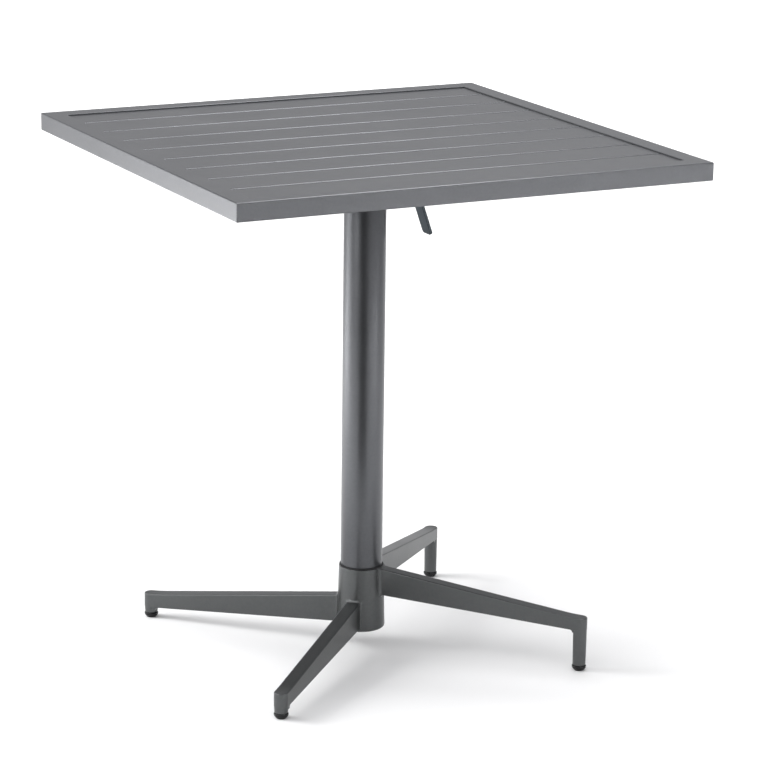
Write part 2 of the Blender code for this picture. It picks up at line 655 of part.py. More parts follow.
def release_lever():
    """A flat bar with rounded corners and two rolled eyes, with a slot between them for the spring."""
    half = LEVER_WIDTH / 2
    end, side = LEVER_LENGTH - LEVER_CORNER, half - LEVER_CORNER
    outline = [(0.003, half), (0.003, -half)]
    outline += arc((end, -side), LEVER_CORNER, -90, 0, 6) + arc((end, side), LEVER_CORNER, 0, 90, 6)
    bm = bmesh.new()
    sides = []
    for out in (-LEVER_THICKNESS / 2, LEVER_THICKNESS / 2):
        places = [(lever_point(down, out), y) for down, y in outline]
        sides.append([bm.verts.new((x, y, z)) for (x, z), y in places])
    bm.faces.new(sides[0])
    bm.faces.new(sides[1])
    for i in range(len(outline)):
        j = (i + 1) % len(outline)
        bm.faces.new((sides[0][i], sides[0][j], sides[1][j], sides[1][i]))
    rims = [edge for edge in bm.edges if any(len(face.verts) > 4 for face in edge.link_faces)]
    bmesh.ops.bevel(bm, geom=rims, offset=0.0008, segments=1, affect="EDGES")
    made = solid("release_lever", bm)
    pivot = (LEVER_PIVOT.x, LEVER_PIVOT.z)
    join(made, drill("lever_eye", LEVER_EYE_RADIUS, "y", pivot, -half + 0.0002, half - 0.0002))
    slot_low = lever_point(0.0098, 0)[1]
    cut(made, drill("lever_bore", LEVER_PIN_RADIUS + GAP, "y", pivot, -0.02, 0.02),
        box("lever_slot", (LEVER_PIVOT.x - 0.02, -SPRING_SLOT / 2, slot_low),
            (LEVER_PIVOT.x + 0.02, SPRING_SLOT / 2, PLATE_BOTTOM)))
    return made


def latch_hook():
    """The hook on the lever: a foot on the bar and a nose that reaches under the striker plate."""
    face = -LEVER_THICKNESS / 2 - GAP
    outline = [(NOSE_X, NOSE_TOP), (NOSE_X, NOSE_TOP - 0.004), (NOSE_X + 0.008, NOSE_TOP - 0.009),
               lever_point(0.022, face - 0.003), lever_point(0.038, face - 0.003),
               lever_point(0.038, face)]
    reach = (LEVER_PIVOT.z - NOSE_TOP + face * sin(LEVER_LEAN)) / cos(LEVER_LEAN)
    outline.append(lever_point(reach, face))
    return prism("latch_hook", outline, "y", -0.010, 0.010)


def lever_spring():
    """A torsion spring around the lever's pin, with one leg under the plate and one on the bar."""
    turn = 2 * pi / 12
    start, end = pi / 2, LEVER_LEAN - 2 * pi * SPRING_TURNS
    count = round((start - end) / turn)
    width = SPRING_SLOT - 2 * SPRING_WIRE - 0.0012
    points = [(LEVER_PIVOT.x - 0.012, -width / 2, PLATE_BOTTOM - SPRING_WIRE - GAP)]
    points.append((LEVER_PIVOT.x - 0.004, -width / 2, LEVER_PIVOT.z + SPRING_RADIUS + 0.0012))
    for step in range(count + 1):
        angle = start + (end - start) * step / count
        points.append((LEVER_PIVOT.x + SPRING_RADIUS * cos(angle), width * (step / count - 0.5),
                       LEVER_PIVOT.z + SPRING_RADIUS * sin(angle)))
    rest = LEVER_THICKNESS / 2 + SPRING_WIRE + GAP
    for down, out in ((0.008, SPRING_RADIUS), (0.020, rest)):
        x, z = lever_point(down, out)
        points.append((x, width / 2, z))
    curve = bpy.data.curves.new("lever_spring", "CURVE")
    curve.dimensions = "3D"
    curve.bevel_depth = SPRING_WIRE
    curve.bevel_resolution = 1
    curve.use_fill_caps = True
    spline = curve.splines.new("POLY")
    spline.points.add(len(points) - 1)
    for point, place in zip(spline.points, points):
        point.co = (*place, 1)
    made = bpy.data.objects.new("lever_spring", curve)
    bpy.context.collection.objects.link(made)
    return made


def main():
    clear_scene()
    coat = material("graphite_coat", (0.150, 0.153, 0.160), 0.42, 0.55)
    cast = material("cast_coat", (0.100, 0.103, 0.108), 0.45, 0.50)
    bracket_coat = material("bracket_coat", (0.075, 0.078, 0.082), 0.50, 0.45)
    steel = material("zinc_steel", (0.55, 0.56, 0.57), 0.35, 1.0)
    lever_coat = material("lever_coat", (0.085, 0.095, 0.102), 0.40, 0.45)
    mill = material("mill_aluminium", (0.60, 0.61, 0.62), 0.40, 1.0)
    rubber = material("black_rubber", (0.015, 0.015, 0.016), 0.70, 0.0)
    nylon = material("black_nylon", (0.022, 0.022, 0.023), 0.50, 0.0)

    base = empty("base", Vector((0, 0, 0)))
    top = empty("top_tilt_axis", TILT_PIVOT, base)
    lever = empty("lever_axis", LEVER_PIVOT, top)

    rails = [rail("frame_rail_" + side, turn)
             for side, turn in (("back", 0), ("left", 90), ("front", 180), ("right", 270))]
    cleats = [corner_cleat(f"corner_cleat_{number}", x, y)
              for number, (x, y) in enumerate(((-1, -1), (1, -1), (1, 1), (-1, 1)), 1)]
    slats = [slat(number) for number in range(1, SLAT_COUNT + 1)]
    bearers = [cross_bearer(number, x) for number, x in enumerate(BEARER_PLACES, 1)]
    place_on(top, coat, *rails, *slats)
    place_on(top, mill, *cleats)
    place_on(top, coat, *bearers)
    place_on(top, bracket_coat, tilt_bracket())
    corners = [(x, y) for x in (BEARER_PLACES[1], BEARER_PLACES[2]) for y in (-BOLT_Y, BOLT_Y)]
    bolts = [bracket_bolt(number, x, y) for number, (x, y) in enumerate(corners, 1)]
    place_on(top, steel, *bolts)

    clip_y = LUG_OUTER + CLIP_OFFSET
    place_on(top, steel, grooved_pin("pivot_pin", TILT_PIVOT, PIVOT_PIN_RADIUS, clip_y),
             retaining_clip("pivot_clip_front", TILT_PIVOT, 0.0043, 0.0082, -clip_y),
             retaining_clip("pivot_clip_back", TILT_PIVOT, 0.0043, 0.0082, clip_y))
    lever_clip_y = LEVER_LUG_OUTER + CLIP_OFFSET
    place_on(top, steel,
             grooved_pin("lever_pin", LEVER_PIVOT, LEVER_PIN_RADIUS, lever_clip_y, LEVER_PIN_HEAD),
             retaining_clip("lever_pin_clip", LEVER_PIVOT, 0.0023, 0.0052, lever_clip_y))
    place_on(top, steel, lever_spring())
    place_on(lever, lever_coat, release_lever(), latch_hook())

    place_on(base, coat, column_tube())
    place_on(base, cast, column_head(), base_casting())
    place_on(base, nylon, pivot_bush("pivot_bush_front", -1), pivot_bush("pivot_bush_back", 1))
    place_on(base, steel, striker_plate(), striker_screw("striker_screw_front", -STRIKER_SCREW_Y),
             striker_screw("striker_screw_back", STRIKER_SCREW_Y))
    place_on(base, rubber, stop_pad("stop_pad_front", -PAD_Y), stop_pad("stop_pad_back", PAD_Y),
             fold_stop(), column_seal_ring())
    place_on(base, steel, tie_rod(), tie_rod_washer(), tie_rod_nut())

    for side, degrees in (*LOW_FEET.items(), *HIGH_FEET.items()):
        place = foot_place(degrees)
        foot = empty(f"glide_{side}_axis", Vector((*place, 0)), base)
        place_on(foot, nylon, glide("glide_" + side, place))


main()
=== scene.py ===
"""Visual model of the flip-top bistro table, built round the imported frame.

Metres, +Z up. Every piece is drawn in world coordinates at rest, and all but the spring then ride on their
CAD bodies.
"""

import json
from math import asin, atan2, cos, hypot, pi, radians, sin, sqrt, tan

import bmesh
import bpy
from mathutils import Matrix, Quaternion, Vector

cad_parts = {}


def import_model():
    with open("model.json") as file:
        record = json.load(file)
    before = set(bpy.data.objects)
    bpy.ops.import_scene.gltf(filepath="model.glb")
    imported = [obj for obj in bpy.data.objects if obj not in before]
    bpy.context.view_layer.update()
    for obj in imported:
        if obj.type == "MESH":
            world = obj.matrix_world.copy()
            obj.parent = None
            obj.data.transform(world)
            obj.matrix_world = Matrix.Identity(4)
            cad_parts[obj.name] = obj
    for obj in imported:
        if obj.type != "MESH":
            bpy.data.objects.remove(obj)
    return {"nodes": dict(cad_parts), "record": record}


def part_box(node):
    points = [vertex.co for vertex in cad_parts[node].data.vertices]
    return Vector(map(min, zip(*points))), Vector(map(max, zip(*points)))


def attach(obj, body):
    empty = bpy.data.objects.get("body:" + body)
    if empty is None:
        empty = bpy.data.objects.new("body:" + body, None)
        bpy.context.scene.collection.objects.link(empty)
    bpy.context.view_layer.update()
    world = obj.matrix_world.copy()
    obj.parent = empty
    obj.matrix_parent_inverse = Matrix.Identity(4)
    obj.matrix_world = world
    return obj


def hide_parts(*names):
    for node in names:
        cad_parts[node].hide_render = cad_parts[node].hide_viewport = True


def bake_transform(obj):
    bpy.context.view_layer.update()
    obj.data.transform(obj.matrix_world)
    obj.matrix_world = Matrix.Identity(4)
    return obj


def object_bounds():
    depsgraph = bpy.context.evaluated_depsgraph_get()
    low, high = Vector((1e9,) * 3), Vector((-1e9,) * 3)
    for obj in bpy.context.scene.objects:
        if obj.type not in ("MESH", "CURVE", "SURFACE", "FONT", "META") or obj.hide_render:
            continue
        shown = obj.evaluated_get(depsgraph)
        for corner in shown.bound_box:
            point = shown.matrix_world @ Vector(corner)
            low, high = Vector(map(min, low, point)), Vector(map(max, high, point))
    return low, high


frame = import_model()
cad_low, cad_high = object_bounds()

JOINTS = {joint["name"]: joint for joint in frame["record"]["behaviour"]["joints"]}
LEVER_PIVOT = Vector(JOINTS["lever_pull"]["pos_m"])

# Table top
RAIL_LOW, RAIL_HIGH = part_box("frame_rail_front")
TOP_HALF = -RAIL_LOW.y
TOP_Z = RAIL_HIGH.z
RAIL_BOTTOM = RAIL_LOW.z
RAIL_WIDTH = 0.029
RAIL_WALL = 0.002
RAIL_EDGE = 0.0016
RAIL_INNER_EDGE = 0.0009
CORNER_RADIUS = 0.0007
MITRE_GAP = 0.00008
LIP_WIDTH = 0.014
LIP_THICKNESS = 0.0025
LIP_EDGE = 0.0004
SLAT_EDGE = 0.0015
SLAT_WALL = 0.0016
BEARER_EDGE = 0.0012
BEARER_WALL = 0.0015

# Column and base
COLUMN_RADIUS = 0.030
COLUMN_WALL = 0.002
COLUMN_CLEARANCE = 0.0003
HUB_BOTTOM = 0.026
HUB_TOP = 0.119
HUB_BOTTOM_RADIUS = 0.0345
HUB_TOP_RADIUS = 0.0323
HUB_BOTTOM_EDGE = 0.004
HUB_TOP_EDGE = 0.0007
HUB_FLOOR = (0.044, 0.052)
HUB_RECESS_RADIUS = 0.026
CUTTER_REACH = 0.01
ROD_HOLE_RADIUS = 0.0053
FOOT_RADIUS = 0.328
ARM_HALF_WIDTH = 0.0101
ARM_EDGE = 0.0016
ARM_FILLET = 0.006
ARM_ROOT = 0.018
ARM_START = 0.035
ARM_STATIONS = (0.0375, 0.0390, 0.042, 0.060, 0.110, 0.160, 0.210, 0.260, 0.300,
                0.306, 0.311, 0.316, 0.322)
ARM_COLUMNS = 6
# Heights at the arm's start and over its foot, and the fillets where it meets the hub and the foot
LOW_ARM = {"top": (0.0705, 0.0365), "under": (0.0310, 0.0160),
           "top_fillet": 0.0045, "under_fillet": 0.003, "web": 0.005}
HIGH_ARM = {"top": (0.1175, 0.0775), "under": (0.0785, 0.0600),
            "top_fillet": 0.0012, "under_fillet": 0.005, "web": 0.004}
ARMS = {"left": (135, LOW_ARM), "front": (225, LOW_ARM), "right": (315, HIGH_ARM), "back": (45, HIGH_ARM)}
LEVEL_LENGTH = 0.034
WEB_OVERLAP = 0.00015
WEB_SIDE_INSET = 0.0012
POST_TOP_RADIUS = 0.00995
POST_BOTTOM_RADIUS = 0.0093
POST_BOTTOM_RISE = 0.0081
POST_EDGE = 0.0007
POST_OVERLAP = 0.008
PAD_HEIGHT = 0.0078
PAD_SOLE_RADIUS = 0.0070
PAD_SIDE_RISE = 0.0040
STUD_HOLE = {"radius": 0.0042, "bottom": 0.004, "top": 0.027}
STUD_THREAD = {"root": 0.0033, "crest": 0.0039, "pitch": 0.00125}

# Lever
LEVER_LEAN = radians(19)
LEVER_WIDTH = 0.025
LEVER_THICKNESS = 0.0045
LEVER_CORNER = 0.005
LEVER_TIP_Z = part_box("release_lever")[0].z
LEVER_TIP_GAP = 0.0008
LEVER_BAR_START = 0.003
LEVER_EDGE = 0.0010
LEVER_PIN_RADIUS = 0.003
LEVER_BORE_RADIUS = 0.0033
EYE_RADIUS = 0.0075
EYE_EDGE = 0.0004
EYE_END_GAP = 0.0002
EYE_SLOT_HALF_WIDTH = 0.0055
EYE_SLOT_DEPTH = 0.0098

# Hardware
PIN_RADIUS = 0.005
PIN_CLEARANCE = 0.0003
CLIP_GROOVE = {"near": 0.0027, "far": 0.0013, "depth": 0.001}
BUSH_FLANGE = {"width": 0.0025, "thickness": 0.001}
ROD_RADIUS = 0.005
ROD_ROOT_RADIUS = 0.0043
ROD_PITCH = 0.0015
ROD_THREAD_LENGTH = 0.030


# Materials


def node(tree, kind, **inputs):
    """A shader node with some inputs set by name or number."""
    made = tree.nodes.new("ShaderNode" + kind)
    for name, value in inputs.items():
        key = int(name[1:]) if name[0] == "n" and name[1:].isdigit() else name.replace("_", " ")
        socket = made.inputs[key]
        if hasattr(value, "is_output"):
            tree.links.new(value, socket)
        else:
            socket.default_value = value
    return made


def mapped(tree, value, low, high, to_low, to_high):
    """A socket's value moved from one range to another, and held inside it."""
    made = node(tree, "MapRange", Value=value, From_Min=low, From_Max=high, To_Min=to_low, To_Max=to_high)
    return made.outputs["Result"]


def mixed(tree, factor, first, second):
    """A colour mix. Colours are 3 numbers or a socket."""
    made = tree.nodes.new("ShaderNodeMix")
    made.data_type = "RGBA"
    for socket, value in ((made.inputs[0], factor), (made.inputs[6], first), (made.inputs[7], second)):
        if hasattr(value, "is_output"):
            tree.links.new(value, socket)
        elif isinstance(value, (int, float)):
            socket.default_value = value
        else:
            socket.default_value = (*value, 1)
    return made.outputs[2]


def scaled(colour, factor):
    """A colour made lighter or darker."""
    return tuple(min(1.0, part * factor) for part in colour)


def noise(tree, coordinates, scale, detail=2.0, rough=0.5):
    """Cloudy noise between 0 and 1."""
    made = node(tree, "TexNoise", Vector=coordinates, Scale=scale, Detail=detail, Roughness=rough)
    return made.outputs["Fac"]


CLOUD_SCALE = 9.0
SPECK_SCALE = 240.0
WORN_AND_LIT_EDGE_WIDTH = 0.0011


def finish_material(name, colour, rough, metallic, peel=900.0, depth=0.00004, wear_and_sheen=0.35, specular=0.5,
                    tint=1.0):
    """A surface with cloudy colour and roughness, a fine grain in its bump, and paler edges: worn coat with
    a painted highlight.
    """
    made = bpy.data.materials.new(name)
    made.use_nodes = True
    tree = made.node_tree
    shader = tree.nodes["Principled BSDF"]
    place = node(tree, "TexCoord").outputs["Object"]
    broad = noise(tree, place, CLOUD_SCALE, 4.0, 0.6)
    fine = noise(tree, place, SPECK_SCALE, 3.0, 0.6)
    grain = noise(tree, place, peel, 2.0, 0.5)
    cloudy = mixed(tree, mapped(tree, broad, 0.3, 0.7, 0, 1), scaled(colour, 0.93), scaled(colour, 1.07))
    speckled = mixed(tree, mapped(tree, fine, 0.35, 0.75, 0, 0.5), cloudy, scaled(colour, 1.16))
    # Paler edges: partly worn coat, partly a painted highlight along every rounded edge
    soft = node(tree, "Bevel", Radius=WORN_AND_LIT_EDGE_WIDTH)
    soft.samples = 4
    normal = node(tree, "NewGeometry").outputs["Normal"]
    facing = node(tree, "VectorMath", n0=soft.outputs["Normal"], n1=normal)
    facing.operation = "DOT_PRODUCT"
    edge = mapped(tree, facing.outputs["Value"], 0.995, 0.86, 0, wear_and_sheen)
    rubbed_and_lit = node(tree, "Math", n0=edge, n1=mapped(tree, fine, 0.4, 0.62, 0.25, 1.0))
    rubbed_and_lit.operation = "MULTIPLY"
    worn_and_lit = mixed(tree, rubbed_and_lit.outputs[0], speckled, scaled(colour, 2.1))
    tree.links.new(worn_and_lit, shader.inputs["Base Color"])
    tree.links.new(mapped(tree, broad, 0.25, 0.75, rough - 0.035, rough + 0.04), shader.inputs["Roughness"])
    bump = node(tree, "Bump", Strength=1.0, Distance=depth, Height=grain)
    tree.links.new(bump.outputs["Normal"], shader.inputs["Normal"])
    shader.inputs["Metallic"].default_value = metallic
    shader.inputs["Specular IOR Level"].default_value = specular
    shader.inputs["Specular Tint"].default_value = (tint, tint, tint, 1)
    return made


FINISHES = {
    # The top's coat has the strongest pale edges: partly wear, partly painted highlight
    "graphite_coat": finish_material("graphite_powder_coat", (0.117, 0.120, 0.127), 0.33, 0.85, wear_and_sheen=0.6),
    "cast_coat": finish_material("graphite_cast_coat", (0.100, 0.104, 0.105), 0.32, 0.85, peel=650.0,
                                 depth=0.00007),
    "bracket_coat": finish_material("bracket_black_coat", (0.060, 0.062, 0.065), 0.42, 0.45, peel=700.0,
                                    depth=0.00006),
    "lever_coat": finish_material("lever_slate_coat", (0.052, 0.060, 0.067), 0.36, 0.9, tint=0.4),
    "zinc_steel": finish_material("zinc_plated_steel", (0.56, 0.57, 0.58), 0.30, 1.0, peel=1600.0,
                                  depth=0.00002, wear_and_sheen=0.2),
    "mill_aluminium": finish_material("mill_aluminium", (0.60, 0.61, 0.62), 0.42, 1.0, peel=1200.0,
                                      depth=0.00003, wear_and_sheen=0.2),
    "black_rubber": finish_material("black_rubber", (0.016, 0.016, 0.017), 0.62, 0.0, peel=1100.0,
                                    depth=0.00006, wear_and_sheen=0.25, specular=0.4),
    "black_nylon": finish_material("black_nylon", (0.010, 0.010, 0.011), 0.24, 0.0, peel=1300.0,
                                   depth=0.00002, wear_and_sheen=0.2, specular=0.25),
}


# Shapes


def along(axis, u, v, w):
    """A point w along the axis, with u and v on the other two axes in X, Y, Z order."""
    return {"x": (w, u, v), "y": (u, w, v), "z": (u, v, w)}[axis]


def arc(centre, radius, start, end, steps):
    """Points of an arc in a plane, with the angles in degrees."""
    angles = [radians(start + (end - start) * step / steps) for step in range(steps + 1)]
    return [(centre[0] + radius * cos(a), centre[1] + radius * sin(a)) for a in angles]


def rounded(corners, steps=3):
    """An outline from corners (x, y, radius), each rounded by its radius."""
    points = []
    for index, (x, y, radius) in enumerate(corners):
        if not radius:
            points.append((x, y))
            continue
        here = Vector((x, y))
        before = (Vector(corners[index - 1][:2]) - here).normalized()
        after = (Vector(corners[(index + 1) % len(corners)][:2]) - here).normalized()
        half = before.angle(after) / 2
        centre = here + (before + after).normalized() * (radius / sin(half))
        first = here + before * (radius / tan(half)) - centre
        last = here + after * (radius / tan(half)) - centre
        start = atan2(first.y, first.x)
        sweep = (atan2(last.y, last.x) - start + pi) % (2 * pi) - pi
        for step in range(steps + 1):
            angle = start + sweep * step / steps
            points.append((centre.x + radius * cos(angle), centre.y + radius * sin(angle)))
    return points


def skin(bm, loops, closed=False):
    """Quads between loops of vertices."""
    pairs = list(zip(loops, loops[1:]))
    if closed:
        pairs.append((loops[-1], loops[0]))
    for first, second in pairs:
        for i in range(len(first)):
            j = (i + 1) % len(first)
            bm.faces.new((first[i], first[j], second[j], second[i]))


def prism(outline, axis, low, high):
    """A solid with the same outline all along an axis."""
    bm = bmesh.new()
    loops = [[bm.verts.new(along(axis, u, v, w)) for u, v in outline] for w in (low, high)]
    skin(bm, loops)
    bm.faces.new(loops[0])
    bm.faces.new(loops[1])
    return bm


def tube(outer, inner, axis, low, high):
    """A tube between two outlines with the same number of points."""
    bm = bmesh.new()
    loops = [[bm.verts.new(along(axis, u, v, w)) for u, v in outline]
             for outline, w in ((outer, low), (outer, high), (inner, high), (inner, low))]
    skin(bm, loops, closed=True)
    return bm


def lathe(profile, axis="z", place=(0, 0), segments=64, ring=False):
    """A turned shape from (radius, height) points. Without ring, it has flat ends."""
    bm = bmesh.new()
    turns = [2 * pi * step / segments for step in range(segments)]
    loops = [[bm.verts.new(along(axis, place[0] + radius * cos(a), place[1] + radius * sin(a), height))
              for a in turns] for radius, height in profile if radius]
    skin(bm, loops, closed=ring)
    if not ring:
        bm.faces.new(loops[0])
        bm.faces.new(loops[-1])
    return bm


def helper(name, bm):
    """An object from a bmesh, with its faces turned outwards."""
    bmesh.ops.recalc_face_normals(bm, faces=bm.faces)
    if bm.calc_volume(signed=True) < 0:
        bmesh.ops.reverse_faces(bm, faces=bm.faces)
    mesh = bpy.data.meshes.new(name)
    bm.to_mesh(mesh)
    bm.free()
    made = bpy.data.objects.new(name, mesh)
    bpy.context.scene.collection.objects.link(made)
    return made


def apply_modifiers(obj):
    """Replaces an object's mesh with what its modifiers make of it."""
    graph = bpy.context.evaluated_depsgraph_get()
    mesh = bpy.data.meshes.new_from_object(obj.evaluated_get(graph), depsgraph=graph)
    mesh.name = obj.data.name
    obj.modifiers.clear()
    obj.data = mesh


def boolean(obj, operation, *others):
    """Unites or cuts a mesh with other solids, and removes those."""
    for other in others:
        modifier = obj.modifiers.new("boolean", "BOOLEAN")
        modifier.operation = operation
        modifier.solver = "EXACT"
        modifier.object = other
    apply_modifiers(obj)
    for other in others:
        bpy.data.objects.remove(other)


def soften(obj, width, segments=3, angle=40):
    """Rounds the sharp edges of an object."""
    modifier = obj.modifiers.new("rounded_edges", "BEVEL")
    modifier.width = width
    modifier.segments = segments
    modifier.limit_method = "ANGLE"
    modifier.angle_limit = radians(angle)
    modifier.use_clamp_overlap = True
    modifier.harden_normals = False


def dress(obj, body, slot, *nodes, sharp=38):
    """Gives a new piece its shading, finish and body, and hides the CAD nodes that it stands for."""
    mesh = obj.data
    mesh.materials.clear()
    mesh.materials.append(FINISHES[slot])
    if obj.type == "MESH":
        mesh.shade_smooth()
        mesh.set_sharp_from_angle(angle=radians(sharp))
    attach(obj, body)
    if nodes:
        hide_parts(*nodes)


def weighted(obj):
    """Shades flat faces flat up to their rounded edges."""
    modifier = obj.modifiers.new("even_shading", "WEIGHTED_NORMAL")
    modifier.keep_sharp = True
    modifier.weight = 80


def turn(points, bearing):
    """(x, y, z) points turned about the column's axis."""
    c, s = round(cos(radians(bearing)), 15), round(sin(radians(bearing)), 15)
    return [(c * x - s * y, s * x + c * y, z) for x, y, z in points]


# Table top


def rail(side, bearing):
    """A mitred box rail with a lip. Its outer corner is rounded in plan where it meets the next rail."""
    profile = rounded([
        (0, RAIL_BOTTOM, RAIL_EDGE),
        (0, TOP_Z, RAIL_EDGE),
        (RAIL_WIDTH, TOP_Z, RAIL_INNER_EDGE),
        (RAIL_WIDTH, RAIL_BOTTOM + LIP_THICKNESS, 0),
        (RAIL_WIDTH + LIP_WIDTH, RAIL_BOTTOM + LIP_THICKNESS, LIP_EDGE),
        (RAIL_WIDTH + LIP_WIDTH, RAIL_BOTTOM, LIP_EDGE),
    ], 4)
    centre = TOP_HALF - CORNER_RADIUS
    angles = [45, 60, 75, 90]
    bm = bmesh.new()
    loops = []
    for sign in (1, -1):
        for angle in angles if sign == 1 else angles[::-1]:
            places = []
            for inset, z in profile:
                radius = CORNER_RADIUS - inset
                if radius > 0:
                    x = centre + radius * cos(radians(angle))
                    y = centre + radius * sin(radians(angle))
                else:
                    y = TOP_HALF - inset
                    x = y if angle == 45 else min(centre, y)
                places.append((sign * (x - (MITRE_GAP if angle == 45 else 0)), y, z))
            loops.append([bm.verts.new(place) for place in turn(places, bearing)])
    skin(bm, loops)
    bore = []
    for sign in (1, -1):
        corners = [(RAIL_WALL, RAIL_BOTTOM + RAIL_WALL), (RAIL_WALL, TOP_Z - RAIL_WALL),
                   (RAIL_WIDTH - RAIL_WALL, TOP_Z - RAIL_WALL),
                   (RAIL_WIDTH - RAIL_WALL, RAIL_BOTTOM + RAIL_WALL)]
        places = [(sign * (TOP_HALF - inset - MITRE_GAP), TOP_HALF - inset, z) for inset, z in corners]
        bore.append([bm.verts.new(place) for place in turn(places, bearing)])
    skin(bm, bore)
    bmesh.ops.remove_doubles(bm, verts=bm.verts, dist=0.000004)
    rims = [edge for edge in bm.edges if edge.is_boundary]
    bmesh.ops.triangle_fill(bm, edges=rims, use_beauty=True)
    made = helper("rail_" + side, bm)
    dress(made, "top", "graphite_coat", "frame_rail_" + side, sharp=30)
    weighted(made)


def box_outline(low, high, edge):
    """The rounded corners of a rectangle."""
    return [(low[0], low[1], edge), (high[0], low[1], edge),
            (high[0], high[1], edge), (low[0], high[1], edge)]


def flat_tube(name, cad_node, axis, edge, wall):
    """A flat tube with rounded edges, in the place of a CAD node."""
    low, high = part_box(cad_node)
    u, v = {"x": (1, 2), "y": (0, 2)}[axis]
    w = "xyz".index(axis)
    outer = rounded(box_outline((low[u], low[v]), (high[u], high[v]), edge))
    inner = rounded(box_outline((low[u] + wall, low[v] + wall), (high[u] - wall, high[v] - wall), edge / 3))
    made = helper(name, tube(outer, inner, axis, low[w], high[w]))
    dress(made, "top", "graphite_coat", cad_node, sharp=50)
    weighted(made)


for side, bearing in (("back", 0), ("left", 90), ("front", 180), ("right", 270)):
    rail(side, bearing)
for number in range(1, 10):
    flat_tube(f"top_slat_{number}", f"slat_{number}", "x", SLAT_EDGE, SLAT_WALL)
for number in range(1, 5):
    flat_tube(f"under_bearer_{number}", f"cross_bearer_{number}", "y", BEARER_EDGE, BEARER_WALL)


# Column


def column():
    """The column's tube."""
    low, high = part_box("column_tube")
    inner = COLUMN_RADIUS - COLUMN_WALL
    profile = rounded([(inner, low.z, 0.0004), (COLUMN_RADIUS, low.z, 0.0006),
                       (COLUMN_RADIUS, high.z, 0.0006), (inner, high.z, 0.0004)], 2)
    made = helper("column", lathe(profile, segments=128, ring=True))
    dress(made, "base", "graphite_coat", "column_tube")


def seal_ring():
    """The dark ring round the column, on top of the hub."""
    low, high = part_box("column_seal_ring")
    inner = COLUMN_RADIUS + COLUMN_CLEARANCE
    profile = rounded([(inner, low.z, 0), (high.x, low.z, 0.0003), (high.x, high.z, 0.0009),
                       (inner, high.z, 0.0003)], 3)
    made = helper("seal_ring", lathe(profile, segments=96, ring=True))
    dress(made, "base", "black_rubber", "column_seal_ring")


column()
seal_ring()


# Base


def arm(name, bearing, shape):
    """One arm with rounded edges. Beside and above its root it curves up into the hub's wall."""
    hub = (HUB_TOP_RADIUS + HUB_BOTTOM_RADIUS) / 2
    centre_s = ARM_HALF_WIDTH + ARM_FILLET
    centre_r = sqrt((hub + ARM_FILLET) ** 2 - centre_s ** 2)
    meets_hub = 180 + asin(centre_s / (hub + ARM_FILLET)) * 180 / pi
    side = []
    for step in range(9):
        a = radians(meets_hub + (270 - meets_hub) * step / 8)
        side.append((centre_r + ARM_FILLET * cos(a), centre_s + ARM_FILLET * sin(a), -cos(a), -sin(a)))
    side.insert(0, (ARM_ROOT, side[0][1], 0, 1))
    for r in ARM_STATIONS:
        side.append((r, ARM_HALF_WIDTH, 0, 1))
    for step in range(13):
        a = radians(90 - 90 * step / 12)
        side.append((FOOT_RADIUS + ARM_HALF_WIDTH * cos(a), ARM_HALF_WIDTH * sin(a), cos(a), sin(a)))

    def rise(r, s, size):
        """How far a fillet of this size lifts the surface near the hub."""
        reach = hypot(r, s) - hub
        if reach >= size:
            return 0.0
        return size - sqrt(size ** 2 - (size - max(reach, 0)) ** 2)

    def height(r, s, level, offset):
        """The height of the arm's top or underside. The top levels off over the foot."""
        start, end = shape[level]
        slope = (end - start) / (FOOT_RADIUS - ARM_START)
        flat = start + slope * (r - ARM_START)
        if level == "top":
            past = max(r - (FOOT_RADIUS - LEVEL_LENGTH + ARM_HALF_WIDTH), 0)
            flat -= slope * past ** 2 / (2 * LEVEL_LENGTH)
            return flat + rise(r, s, shape["top_fillet"]) - offset
        return flat - rise(r, s, shape["under_fillet"]) + offset

    levels = []
    for step in range(4):
        a = radians(90 * step / 3)
        levels.append(("under", ARM_EDGE * (1 - sin(a)), ARM_EDGE * (1 - cos(a))))
    for step in range(4):
        a = radians(90 * step / 3)
        levels.append(("top", ARM_EDGE * (1 - cos(a)), ARM_EDGE * (1 - sin(a))))
    bm = bmesh.new()

    def at(r, s, level, offset):
        """A vertex at a distance r along the arm and s across it."""
        return bm.verts.new(turn([(r, s, height(r, s, level, offset))], bearing)[0])

    rings = []
    for level, inset, offset in levels:
        upper = [(r - inset * nr, s - inset * ns) for r, s, nr, ns in side]
        lower = [(r, -s) for r, s in reversed(upper[:-1])]
        root = [(ARM_ROOT, upper[0][1] * (1 - 2 * step / ARM_COLUMNS)) for step in range(1, ARM_COLUMNS)]
        places = upper + lower + root[::-1]
        rings.append([at(r, s, level, offset) for r, s in places])
    skin(bm, rings)
    count = len(side)
    for ring, level, inset, offset in ((rings[0], *levels[0]), (rings[-1], *levels[-1])):
        rows = []
        for i in range(count - 1):
            left, right = ring[i], ring[2 * count - 2 - i]
            if i == 0:
                inner = ring[2 * count - 1:][::-1]
            else:
                r, s = side[i][0] - inset * side[i][2], side[i][1] - inset * side[i][3]
                inner = [at(r, s * (1 - 2 * step / ARM_COLUMNS), level, offset)
                         for step in range(1, ARM_COLUMNS)]
            rows.append([left, *inner, right])
        for first, second in zip(rows, rows[1:]):
            for i in range(ARM_COLUMNS):
                bm.faces.new((first[i], first[i + 1], second[i + 1], second[i]))
        for i in range(ARM_COLUMNS):
            bm.faces.new((rows[-1][i], rows[-1][i + 1], ring[count - 1]))
    return helper(name, bm)


